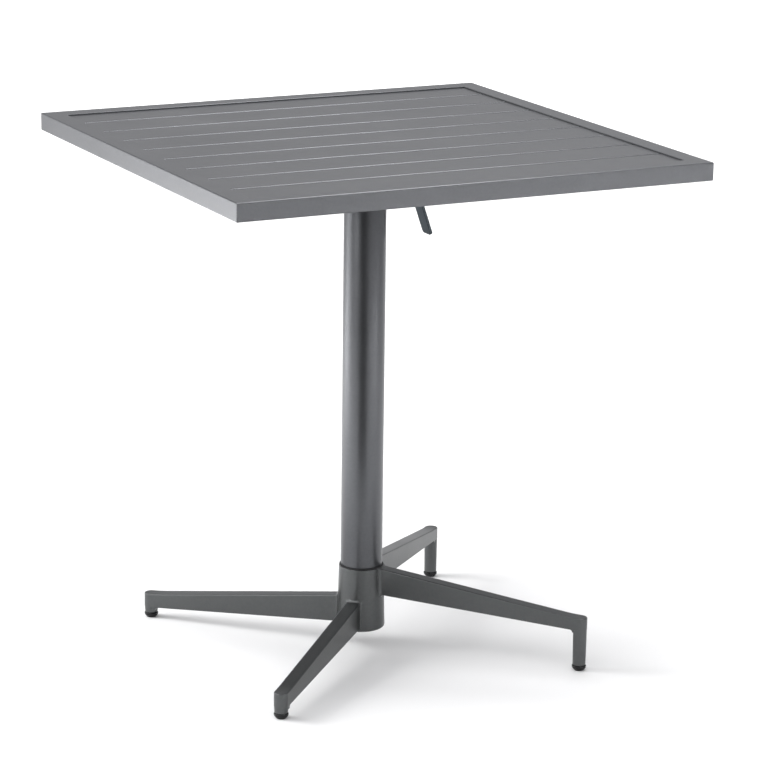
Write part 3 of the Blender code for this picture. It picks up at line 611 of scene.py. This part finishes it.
def web(name, bearing, shape):
    """The fillet between the underside of an arm and the inner side of its foot."""
    start, end = shape["under"]
    slope = (end - start) / (FOOT_RADIUS - ARM_START)
    inner = FOOT_RADIUS - POST_BOTTOM_RADIUS + WEB_OVERLAP
    tilt = atan2(slope, 1)
    radius = shape["web"]
    centre_r = inner - radius
    centre_z = start + slope * (centre_r - ARM_START) - radius / cos(tilt) + WEB_OVERLAP
    outline = [(centre_r + radius * cos(a), centre_z + radius * sin(a))
               for a in (radians(step * 10) + tilt * step / 9 for step in range(10))]
    last = outline[-1]
    top, outer = last[1] + 0.002, inner + 0.004
    outline += [(last[0], top), (outer, top), (outer, outline[0][1])]
    half = ARM_HALF_WIDTH - WEB_SIDE_INSET
    bm = prism(outline, "y", -half, half)
    for vert in bm.verts:
        vert.co = turn([vert.co], bearing)[0]
    return helper(name, bm)


def hub_cutters():
    """What is cut from the hub: the column's bore, the pocket underneath and the rod's hole."""
    wall = COLUMN_RADIUS + COLUMN_CLEARANCE
    flared = wall + 0.0008
    above = HUB_TOP + CUTTER_REACH
    bore = [(0, HUB_FLOOR[1]), (wall, HUB_FLOOR[1]), (wall, HUB_TOP - 0.0005),
            (flared, HUB_TOP + 0.0003), (flared, above), (0, above)]
    pocket = HUB_RECESS_RADIUS
    mouth = pocket + 0.001
    below = HUB_BOTTOM - CUTTER_REACH
    recess = [(0, below), (mouth, below), (mouth, HUB_BOTTOM - 0.0002), (pocket, HUB_BOTTOM + 0.001),
              (pocket, HUB_FLOOR[0] - 0.002), (pocket - 0.0006, HUB_FLOOR[0] - 0.0006),
              (pocket - 0.002, HUB_FLOOR[0]), (0, HUB_FLOOR[0])]
    under, over = HUB_FLOOR[0] - CUTTER_REACH, HUB_FLOOR[1] + CUTTER_REACH
    rod = [(0, under), (ROD_HOLE_RADIUS, under), (ROD_HOLE_RADIUS, over), (0, over)]
    return (helper("bore", lathe(bore, segments=128)), helper("recess", lathe(recess, segments=96)),
            helper("rod_hole", lathe(rod, segments=32)))


def base_casting():
    """The hub with its four arms and feet, bored for the column, the rod and the glides' studs."""
    outer = rounded([(0, HUB_BOTTOM, 0), (HUB_BOTTOM_RADIUS, HUB_BOTTOM, HUB_BOTTOM_EDGE),
                     (HUB_TOP_RADIUS, HUB_TOP, HUB_TOP_EDGE), (0, HUB_TOP, 0)], 6)
    made = helper("cast_base", lathe(outer, segments=128))
    for side, (bearing, shape) in ARMS.items():
        x, y = FOOT_RADIUS * cos(radians(bearing)), FOOT_RADIUS * sin(radians(bearing))
        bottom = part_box("glide_" + side)[0].z + POST_BOTTOM_RISE
        under = shape["under"][1]
        top = under + POST_OVERLAP
        profile = rounded([(0, bottom, 0), (POST_BOTTOM_RADIUS, bottom, POST_EDGE),
                           (POST_TOP_RADIUS - 0.0001, under - 0.001, 0),
                           (POST_TOP_RADIUS, top, 0), (0, top, 0)], 4)
        post = helper("post_" + side, lathe(profile, place=(x, y), segments=64))
        boolean(made, "UNION", arm("arm_" + side, bearing, shape))
        boolean(made, "UNION", post)
        boolean(made, "UNION", web("web_" + side, bearing, shape))
        stud = lathe([(STUD_HOLE["radius"], STUD_HOLE["bottom"]), (STUD_HOLE["radius"], STUD_HOLE["top"])],
                     place=(x, y), segments=32)
        boolean(made, "DIFFERENCE", helper("stud_hole", stud))
    boolean(made, "DIFFERENCE", *hub_cutters())
    dress(made, "base", "cast_coat", "base_casting", sharp=42)
    weighted(made)


base_casting()


def glide(side):
    """The black pad of a levelling glide, and its threaded stud."""
    low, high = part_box("glide_" + side)
    x, y = (low.x + high.x) / 2, (low.y + high.y) / 2
    radius = (high.x - low.x) / 2
    pad_top = low.z + PAD_HEIGHT
    profile = rounded([(0, low.z, 0), (PAD_SOLE_RADIUS, low.z, 0.0008),
                       (radius, low.z + PAD_SIDE_RISE, 0.0040), (radius, pad_top - 0.0013, 0.0004),
                       (radius - 0.0011, pad_top, 0.0007), (0, pad_top, 0)], 5)
    pad = helper("foot_pad_" + side, lathe(profile, place=(x, y), segments=64))
    dress(pad, "glide_" + side, "black_nylon", "glide_" + side)
    root, crest, pitch = (STUD_THREAD[part] for part in ("root", "crest", "pitch"))
    thread = [(0, pad_top - 0.001), (root, pad_top - 0.001)]
    z = pad_top + 0.0004
    while z < high.z - 0.0015:
        thread += [(root, z), (crest, z + 0.45 * pitch), (crest, z + 0.55 * pitch)]
        z += pitch
    thread += [(root, z), (root, high.z - 0.001), (root - 0.001, high.z), (0, high.z)]
    stud = helper("foot_stud_" + side, lathe(thread, place=(x, y), segments=32))
    dress(stud, "glide_" + side, "zinc_steel", "glide_" + side, sharp=25)


for side in ARMS:
    glide(side)


# Lever


def lever_point(down, out):
    """A point (x, z) a distance down the lever from its pivot, and out from its middle towards +X."""
    c, s = cos(LEVER_LEAN), sin(LEVER_LEAN)
    return (LEVER_PIVOT.x + down * s + out * c, LEVER_PIVOT.z - down * c + out * s)


def release_lever():
    """A flat bar with rounded corners and edges, hung on two rolled eyes."""
    half = LEVER_WIDTH / 2
    length = (LEVER_PIVOT.z - LEVER_TIP_Z) / cos(LEVER_LEAN)
    corner, side = length - LEVER_CORNER - LEVER_TIP_GAP, half - LEVER_CORNER
    outline = [(LEVER_BAR_START, half), (LEVER_BAR_START, -half)]
    outline += arc((corner, -side), LEVER_CORNER, -90, 0, 10) + arc((corner, side), LEVER_CORNER, 0, 90, 10)
    bm = bmesh.new()
    loops = []
    for out in (-LEVER_THICKNESS / 2, LEVER_THICKNESS / 2):
        places = [(lever_point(down, out), y) for down, y in outline]
        loops.append([bm.verts.new((x, y, z)) for (x, z), y in places])
    skin(bm, loops)
    bm.faces.new(loops[0])
    bm.faces.new(loops[1])
    made = helper("lever_bar", bm)
    soften(made, LEVER_EDGE, 3)
    apply_modifiers(made)
    pivot = (LEVER_PIVOT.x, LEVER_PIVOT.z)
    end = half - EYE_END_GAP
    eye = helper("eye", lathe([(EYE_RADIUS - EYE_EDGE, -end), (EYE_RADIUS, -end + EYE_EDGE),
                               (EYE_RADIUS, end - EYE_EDGE), (EYE_RADIUS - EYE_EDGE, end)], "y", pivot, 48))
    boolean(made, "UNION", eye)
    reach = 2 * CUTTER_REACH
    bore = helper("bore", lathe([(LEVER_BORE_RADIUS, -reach), (LEVER_BORE_RADIUS, reach)], "y", pivot, 32))
    low = lever_point(EYE_SLOT_DEPTH, 0)[1]
    high = low + 0.03
    outline = [(-EYE_SLOT_HALF_WIDTH, low), (EYE_SLOT_HALF_WIDTH, low),
               (EYE_SLOT_HALF_WIDTH, high), (-EYE_SLOT_HALF_WIDTH, high)]
    slot = helper("slot", prism(outline, "x", LEVER_PIVOT.x - reach, LEVER_PIVOT.x + reach))
    boolean(made, "DIFFERENCE", bore, slot)
    dress(made, "lever", "lever_coat", "release_lever")
    weighted(made)


release_lever()


# Hardware and the parts under the top


def refined(name, cad_node, width, segments=2):
    """A CAD shape with its facets joined, its edges rounded and its curves shaded smooth."""
    bm = bmesh.new()
    bm.from_mesh(frame["nodes"][cad_node].data)
    bmesh.ops.remove_doubles(bm, verts=bm.verts, dist=0.00002)
    bmesh.ops.dissolve_limit(bm, angle_limit=radians(1), verts=bm.verts, edges=bm.edges)
    made = helper(name, bm)
    soften(made, width, segments)
    apply_modifiers(made)
    dress(made, BODY_OF[cad_node], SLOT_OF[cad_node], cad_node)
    weighted(made)


def middle(cad_node):
    """The middle of a CAD node's box."""
    low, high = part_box(cad_node)
    return (low + high) / 2


def hexagon(across_flats, place=(0, 0)):
    """A hexagon's six corners."""
    return arc(place, across_flats / sqrt(3), 0, 300, 5)


def socket_screw(name, cad_node, axis, sign, shank, head_height, socket, dome):
    """A domed socket screw along an axis. Its head points to the axis's sign side."""
    low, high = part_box(cad_node)
    w = "xyz".index(axis)
    u, v = [i for i in range(3) if i != w]
    place = ((low[u] + high[u]) / 2, (low[v] + high[v]) / 2)
    radius = (high[u] - low[u]) / 2
    head, tail = (high[w], low[w]) if sign > 0 else (low[w], high[w])
    seat = head - sign * head_height
    flat, pitch, root = 0.62, 0.001, shank - 0.0004
    profile = [(0, head), (radius * flat, head)]
    profile += [(radius * (flat + (1 - flat) * sin(a)), head - sign * (head_height - dome) * (1 - cos(a)))
                for a in (radians(15 * step) for step in range(1, 7))]
    profile += [(radius, seat), (shank, seat)]
    thread = seat - sign * 2 * pitch
    while abs(tail - thread) > 1.6 * pitch:
        profile += [(shank, thread), (root, thread - sign * pitch / 2)]
        thread -= sign * pitch
    profile += [(root, tail), (0, tail)]
    made = helper(name, lathe(profile, axis, place, 48))
    depths = sorted((head + sign * 0.001, head - sign * 0.6 * head_height))
    boolean(made, "DIFFERENCE", helper("socket", prism(hexagon(socket, place), axis, *depths)))
    dress(made, BODY_OF[cad_node], SLOT_OF[cad_node], cad_node, sharp=32)


def turned_piece(name, cad_node, axis, corners, ring=False, segments=64):
    """A turned piece whose profile's heights are absolute, around the middle of its CAD node."""
    centre = middle(cad_node)
    place = [centre[i] for i in range(3) if "xyz"[i] != axis]
    made = helper(name, lathe(rounded(corners), axis, place, segments, ring))
    dress(made, BODY_OF[cad_node], SLOT_OF[cad_node], cad_node, sharp=32)


BODY_OF = {name: body for body, names in frame["record"]["behaviour"]["bodies"].items() for name in names}
SLOT_OF = {entry["node"]: entry["material_slot"] for entry in frame["record"]["subparts"]}

refined("hook", "latch_hook", 0.0007)
refined("bracket", "tilt_bracket", 0.0008)
refined("head", "column_head", 0.0009)
refined("striker", "striker_plate", 0.0005)
for end in ("front", "back"):
    refined("tilt_clip_" + end, "pivot_clip_" + end, 0.00018, 1)
refined("small_clip", "lever_pin_clip", 0.00015, 1)
for number in range(1, 5):
    refined(f"mitre_cleat_{number}", f"corner_cleat_{number}", 0.0004, 1)
    socket_screw(f"plate_bolt_{number}", f"bracket_bolt_{number}", "z", -1,
                 shank=0.0030, head_height=0.0034, socket=0.004, dome=0.0007)
for end in ("front", "back"):
    socket_screw("striker_bolt_" + end, "striker_screw_" + end, "x", 1,
                 shank=0.0015, head_height=0.0027, socket=0.0025, dome=0.0016)


def bush(end, sign):
    """A flanged bush for the tilt pin. Its flange is on the outer side."""
    low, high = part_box("pivot_bush_" + end)
    face, tail = (high.y, low.y) if sign > 0 else (low.y, high.y)
    flange = (high.x - low.x) / 2
    barrel = flange - BUSH_FLANGE["width"]
    seat = face - sign * BUSH_FLANGE["thickness"]
    inner = PIN_RADIUS + PIN_CLEARANCE
    turned_piece("tilt_bush_" + end, "pivot_bush_" + end, "y", [
        (inner, tail, 0.0003), (barrel, tail, 0.0005), (barrel, seat, 0), (flange, seat, 0.0002),
        (flange, face, 0.0004), (inner, face, 0.0004)], ring=True)


def grooved_pins():
    """The tilt pin, grooved at both ends, and the lever's headed pin."""
    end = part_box("pivot_pin")[1].y
    near, far = end - CLIP_GROOVE["near"], end - CLIP_GROOVE["far"]
    waist = PIN_RADIUS - CLIP_GROOVE["depth"]
    half = [(waist, near, 0), (waist, far, 0), (PIN_RADIUS, far, 0), (PIN_RADIUS, end, 0.0006)]
    corners = [(0, end, 0)] + half[::-1] + [(PIN_RADIUS, near, 0)]
    corners += [(r, -y, rounding) for r, y, rounding in corners[::-1]]
    turned_piece("tilt_pin", "pivot_pin", "y", corners[::-1])
    low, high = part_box("lever_pin")
    end, radius = high.y, LEVER_PIN_RADIUS
    near, far = end - CLIP_GROOVE["near"], end - CLIP_GROOVE["far"]
    waist = radius - CLIP_GROOVE["depth"]
    head, seat = 0.005, low.y + 0.002
    turned_piece("small_pin", "lever_pin", "y", [
        (0, low.y, 0), (head, low.y, 0.0007), (head, seat, 0.0003), (radius, seat, 0),
        (radius, near, 0), (waist, near, 0), (waist, far, 0), (radius, far, 0),
        (radius, end, 0.0006), (0, end, 0)], segments=48)


def rubber_stops():
    """The two stops for the level top, and the bumper for the folded top."""
    stem, pad = 0.0026, 0.006
    for end in ("front", "back"):
        low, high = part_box("stop_pad_" + end)
        seat = low.z + 0.0083
        turned_piece("rubber_pad_" + end, "stop_pad_" + end, "z", [
            (0, low.z, 0), (stem, low.z, 0.0006), (stem, seat, 0), (pad, seat, 0.0005),
            (pad, high.z, 0.0014), (0, high.z, 0)])
    stem, pad = 0.0028, 0.007
    low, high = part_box("fold_stop")
    seat = high.x - 0.009
    turned_piece("fold_bumper", "fold_stop", "x", [
        (0, low.x, 0), (pad, low.x, 0.0024), (pad, seat, 0.0004), (stem, seat, 0),
        (stem, high.x, 0.0006), (0, high.x, 0)])


def threaded_rod():
    """The tie rod with its thread where the nut holds it, its washer and its nut."""
    low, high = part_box("tie_rod")
    radius, root, pitch = ROD_RADIUS, ROD_ROOT_RADIUS, ROD_PITCH
    corners = [(0, low.z, 0), (root - 0.0005, low.z, 0)]
    z = low.z + 0.0005
    while z < low.z + ROD_THREAD_LENGTH:
        corners += [(root, z, 0), (radius, z + 0.45 * pitch, 0), (radius, z + 0.55 * pitch, 0)]
        z += pitch
    corners += [(root, z, 0), (radius, z + 0.0006, 0), (radius, high.z, 0.0008), (0, high.z, 0)]
    turned_piece("clamp_rod", "tie_rod", "z", corners, segments=32)
    low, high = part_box("tie_rod_washer")
    inner, outer = ROD_HOLE_RADIUS, high.x
    turned_piece("clamp_washer", "tie_rod_washer", "z", [
        (inner, low.z, 0.0002), (outer, low.z, 0.0005), (outer, high.z, 0.0004), (inner, high.z, 0.0002)],
        ring=True)
    low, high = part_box("tie_rod_nut")
    across = high.y - low.y
    nut = helper("clamp_nut", prism(hexagon(across), "z", low.z, high.z))
    face, past = across * 0.49, across / sqrt(3) + 0.0002
    dome = [(0, low.z), (face, low.z), (past, low.z + 0.0012), (past, high.z - 0.0012),
            (face, high.z), (0, high.z)]
    boolean(nut, "INTERSECT", helper("dome", lathe(dome, segments=48)))
    below, above = low.z - 0.001, high.z + 0.001
    hole = [(0, below), (ROD_HOLE_RADIUS + 0.001, below), (ROD_HOLE_RADIUS, low.z + 0.0006),
            (ROD_HOLE_RADIUS, above), (0, above)]
    boolean(nut, "DIFFERENCE", helper("hole", lathe(hole, segments=32)))
    dress(nut, "base", "zinc_steel", "tie_rod_nut", sharp=25)


def return_spring():
    """The torsion spring: one leg under the plate, and the other on the lever."""
    wire, coil, width, turns = 0.0006, 0.0052, 0.0086, 3
    start, end = pi / 2, LEVER_LEAN - 2 * pi * turns
    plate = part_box("lever_spring")[1].z
    # One leg lies along the plate, the coil turns round the pin, and the other leg ends on the bar
    points = [(LEVER_PIVOT.x - 0.012, -width / 2, plate - wire),
              (LEVER_PIVOT.x - 0.004, -width / 2, LEVER_PIVOT.z + coil + 0.0008)]
    count = 24 * turns
    for step in range(count + 1):
        angle = start + (end - start) * step / count
        points.append((LEVER_PIVOT.x + coil * cos(angle), width * (step / count - 0.5),
                       LEVER_PIVOT.z + coil * sin(angle)))
    rest = LEVER_THICKNESS / 2 + wire + 0.0003
    for down, out in ((0.008, coil), (0.020, rest)):
        x, z = lever_point(down, out)
        points.append((x, width / 2, z))
    curve = bpy.data.curves.new("torsion_spring", "CURVE")
    curve.dimensions = "3D"
    curve.bevel_depth = wire
    curve.bevel_resolution = 3
    curve.use_fill_caps = True
    spline = curve.splines.new("POLY")
    spline.points.add(len(points) - 1)
    for point, place in zip(spline.points, points):
        point.co = (*place, 1)
    shaped = bpy.data.objects.new("torsion_spring", curve)
    bpy.context.scene.collection.objects.link(shaped)
    mesh = bpy.data.meshes.new_from_object(shaped)
    bpy.data.objects.remove(shaped)
    bm = bmesh.new()
    bm.from_mesh(mesh)
    bmesh.ops.remove_doubles(bm, verts=bm.verts, dist=0.00001)
    bmesh.ops.recalc_face_normals(bm, faces=bm.faces)
    bm.to_mesh(mesh)
    bm.free()
    made = bpy.data.objects.new("torsion_spring", mesh)
    bpy.context.scene.collection.objects.link(made)
    mesh.materials.clear()
    mesh.materials.append(FINISHES["zinc_steel"])
    mesh.shade_smooth()
    mesh.set_sharp_from_angle(angle=radians(50))
    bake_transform(made)
    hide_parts("lever_spring")


bush("front", -1)
bush("back", 1)
grooved_pins()
rubber_stops()
threaded_rod()
return_spring()


# Floor, light and camera


RIGHT = Vector((0.893, -0.451, 0))
AWAY = Vector((0.451, 0.893, 0))
FLOOR_REACH = 16
FLOOR_NOTCH = 0.62
FLOOR_NOTCH_ANGLE = 24
FLOOR_THICKNESS = 0.0001
FLOOR_COLOUR = 0.86


def floor():
    """A pale floor. Towards the front it ends, as a studio's paper does, and the room beyond is dark."""
    bearing = atan2(-AWAY.y, -AWAY.x)
    notch = radians(FLOOR_NOTCH_ANGLE)
    edge = [(FLOOR_NOTCH * cos(bearing - notch * part / 4), FLOOR_NOTCH * sin(bearing - notch * part / 4))
            for part in range(-4, 5)]
    outer = [(FLOOR_REACH * cos(bearing + notch + (2 * pi - 2 * notch) * part / 24),
              FLOOR_REACH * sin(bearing + notch + (2 * pi - 2 * notch) * part / 24)) for part in range(25)]
    made = helper("floor", prism(outer + edge[::-1], "z", cad_low.z - FLOOR_THICKNESS, cad_low.z))
    finish = bpy.data.materials.new("pale_floor")
    finish.use_nodes = True
    tree = finish.node_tree
    shader = tree.nodes["Principled BSDF"]
    place = node(tree, "TexCoord").outputs["Object"]
    cloud = noise(tree, place, 1.2, 2.0)
    pale = mixed(tree, cloud, (FLOOR_COLOUR,) * 3, (FLOOR_COLOUR + 0.02,) * 3)
    tree.links.new(pale, shader.inputs["Base Color"])
    shader.inputs["Roughness"].default_value = 0.75
    shader.inputs["Specular IOR Level"].default_value = 0.0
    made.data.materials.append(finish)


def area_light(name, place, size, power, target=None, spread=180, hidden_from=None):
    """A soft light. It shines straight down if it has no target."""
    if target is None:
        target = (place[0], place[1], 0)
    data = bpy.data.lights.new(name, "AREA")
    data.shape = "RECTANGLE"
    data.size, data.size_y = size
    data.energy = power
    data.spread = radians(spread)
    made = bpy.data.objects.new(name, data)
    bpy.context.scene.collection.objects.link(made)
    made.location = place
    made.rotation_euler = (Vector(target) - Vector(place)).to_track_quat("-Z", "Y").to_euler()
    made.visible_glossy = hidden_from != "glossy"
    made.visible_diffuse = hidden_from != "diffuse"


CAMERA_PLACE = Vector((-1.9313, -3.9505, 1.5544))
CAMERA_AZIMUTH = -26.436
CAMERA_ELEVATION = 14.860
CAMERA_ROLL = 0.719
CAMERA_LENS = 150.19


def camera():
    data = bpy.data.cameras.new("camera")
    data.lens = CAMERA_LENS
    data.sensor_width = 36
    data.clip_end = 60
    made = bpy.data.objects.new("camera", data)
    bpy.context.scene.collection.objects.link(made)
    azimuth, elevation = radians(CAMERA_AZIMUTH), radians(CAMERA_ELEVATION)
    back = Vector((sin(azimuth) * cos(elevation), -cos(azimuth) * cos(elevation), sin(elevation)))
    made.location = CAMERA_PLACE
    made.rotation_mode = "QUATERNION"
    made.rotation_quaternion = (-back).to_track_quat("-Z", "Y")
    made.rotation_quaternion.rotate(Quaternion(-back, radians(-CAMERA_ROLL)))
    bpy.context.scene.camera = made


def world():
    """A pale studio with a bright ceiling, dark on the front side and dim above the back.

    Seen directly, it is white.
    """
    made = bpy.data.worlds.new("studio")
    made.use_nodes = True
    tree = made.node_tree
    background = tree.nodes["Background"]
    direction = node(tree, "TexCoord").outputs["Generated"]

    def toward(x, y, z):
        """How nearly a ray points this way: 1 when it does."""
        aim = Vector((x, y, z)).normalized()
        dot = node(tree, "VectorMath", n0=direction, n1=tuple(aim))
        dot.operation = "DOT_PRODUCT"
        return dot.outputs["Value"]

    def patch(level, aim, start, full, colour):
        """A patch of another colour round a direction. Its edge runs between two cosines."""
        return mixed(tree, mapped(tree, toward(*aim), start, full, 0, 1), level, colour)

    studio, dark, ceiling = (0.62, 0.62, 0.63), (0.075, 0.077, 0.076), (1.7, 1.7, 1.72)
    horizon, dim = (0.66, 0.66, 0.68), (0.10, 0.10, 0.102)
    level = patch(studio, (-0.559, -0.829, -0.15), 0.81, 0.965, dark)
    level = patch(level, (-0.45, 0.23, 1), 0.60, 0.95, ceiling)
    level = patch(level, (0.435, 0.862, 0.24), 0.82, 0.97, horizon)
    above = mapped(tree, toward(0, 0, 1), 0.34, 0.50, 0, 1)
    behind = mapped(tree, toward(0.451, 0.893, 0.5), 0.84, 0.96, 0, 1)
    shade = node(tree, "Math", n0=above, n1=behind)
    shade.operation = "MULTIPLY"
    level = mixed(tree, shade.outputs["Value"], level, dim)
    seen = node(tree, "LightPath").outputs["Is Camera Ray"]
    tree.links.new(mixed(tree, seen, level, (1.0, 1.0, 1.0)), background.inputs["Color"])
    bpy.context.scene.world = made


floor()
world()
area_light("key", -2.5 * RIGHT + 0.35 * AWAY + Vector((0, 0, 1.15)), (1.3, 1.9), 75,
           target=(0, 0, 0.5), hidden_from="glossy")
area_light("key_glow", -2.5 * RIGHT + 0.1 * AWAY + Vector((0, 0, 1.25)), (1.4, 2.5), 19,
           target=(0, 0, 0.7), hidden_from="diffuse")
area_light("rail_glow", (-1.0, 0.95, 0.36), (0.5, 0.5), 1.3, target=(-0.35, -0.35, 0.73),
           hidden_from="diffuse")
area_light("left_wash", (-1.9, 1.35, 1.9), (2.0, 2.0), 20, spread=48)
area_light("right_wash", (2.0, -2.45, 1.9), (1.6, 1.6), 34, spread=60)
area_light("front_wash", (0.75, -3.4, 1.9), (1.4, 1.4), 13, spread=60)
area_light("edge_strip", (0.76, -0.35, 2.4), (0.55, 3.0), 40, hidden_from="diffuse")
area_light("rim_glow", (-2.7, -1.0, 1.7), (1.3, 1.3), 22, target=(0, 0, 0.3), hidden_from="diffuse")
area_light("overhead", (0.18, -0.18, 2.4), (1.5, 1.4), 28, hidden_from="glossy")
area_light("backdrop", 6.5 * AWAY + Vector((0, 0, 3.2)), (7, 3), 260, target=5.5 * AWAY,
           hidden_from="glossy")
camera()
bpy.context.scene.view_settings.view_transform = "Standard"
